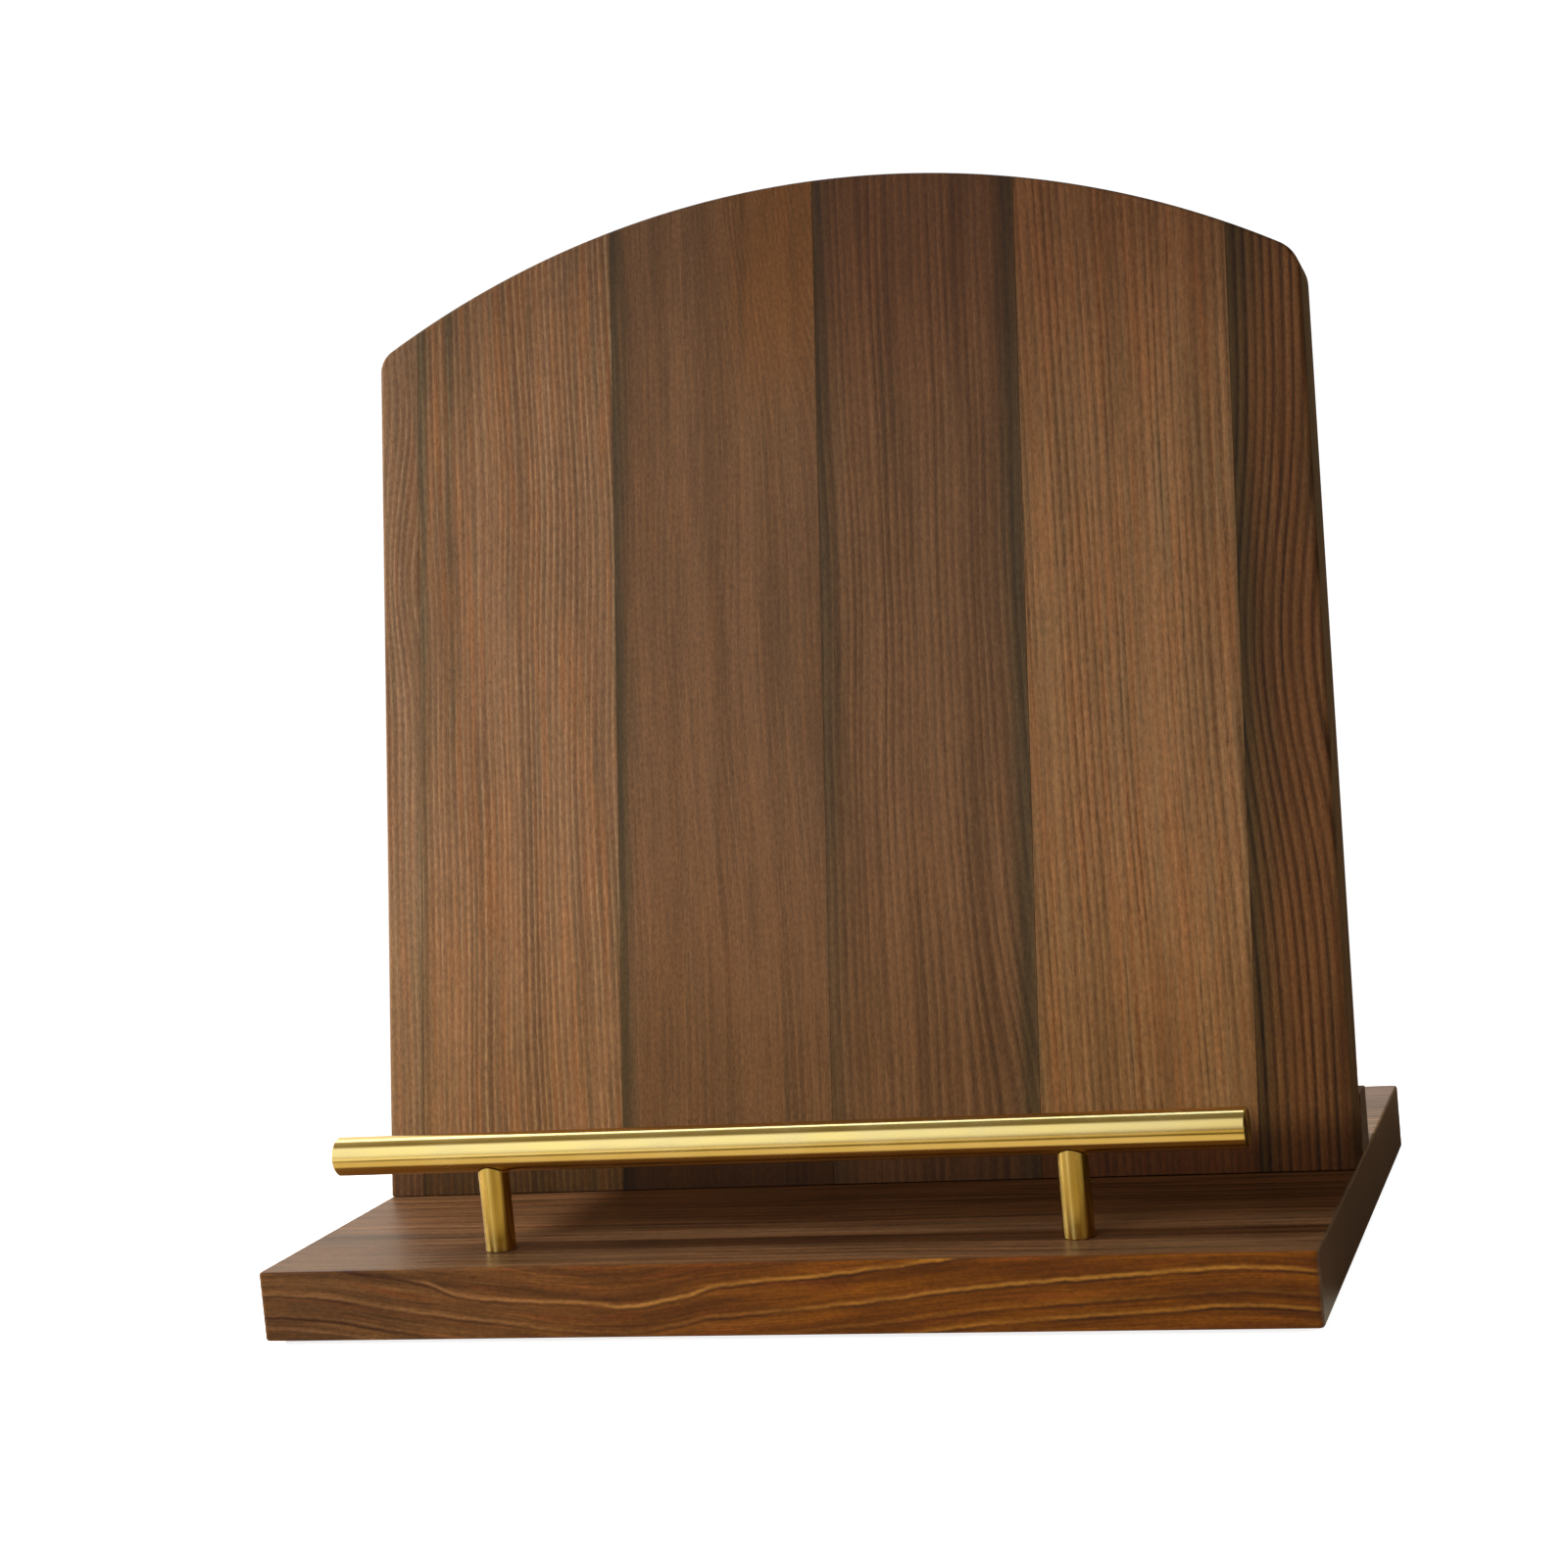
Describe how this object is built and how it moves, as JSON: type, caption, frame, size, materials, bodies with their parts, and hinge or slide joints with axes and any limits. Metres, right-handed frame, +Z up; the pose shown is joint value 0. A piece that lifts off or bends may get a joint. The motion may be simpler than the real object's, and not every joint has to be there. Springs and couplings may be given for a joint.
{
  "type": "cookbook stand",
  "caption": "Wooden cookbook stand: a slab base carries a leaning, arched back panel of upright boards, and a brass rail on posts keeps the pages open.",
  "frame": {"origin": "under the middle of the base, on the surface that the feet stand on", "axes": "+X to the right along the base as a reader sees it, +Y to the rear, +Z up; the front faces -Y"},
  "size_m": [0.344, 0.244, 0.372],
  "materials": {
    "wood_pale": "oiled",
    "wood_warm": "oiled",
    "wood_middle": "oiled",
    "wood_dark": "oiled",
    "brass": "satin",
    "steel": "satin",
    "rubber": "matt"
  },
  "bodies": {
    "root": {"base_board_front": "wood_warm", "base_board_middle": "wood_middle", "base_board_rear": "wood_pale", "panel_stave_1": "wood_pale", "panel_stave_2": "wood_warm", "panel_stave_3": "wood_middle", "panel_stave_4": "wood_dark", "panel_stave_5": "wood_warm", "panel_stave_6": "wood_dark", "panel_batten": "wood_dark", "panel_screw_1": "steel", "panel_screw_2": "steel", "panel_screw_3": "steel", "panel_screw_4": "steel", "batten_screw_1": "steel", "batten_screw_2": "steel", "batten_screw_3": "steel", "page_rail": "brass", "rail_post_left": "brass", "rail_post_right": "brass", "rail_stud_left": "steel", "rail_stud_right": "steel", "post_screw_left": "steel", "post_screw_right": "steel", "foot_front_left": "rubber", "foot_front_right": "rubber", "foot_rear_left": "rubber", "foot_rear_right": "rubber"}
  },
  "joints": []
}
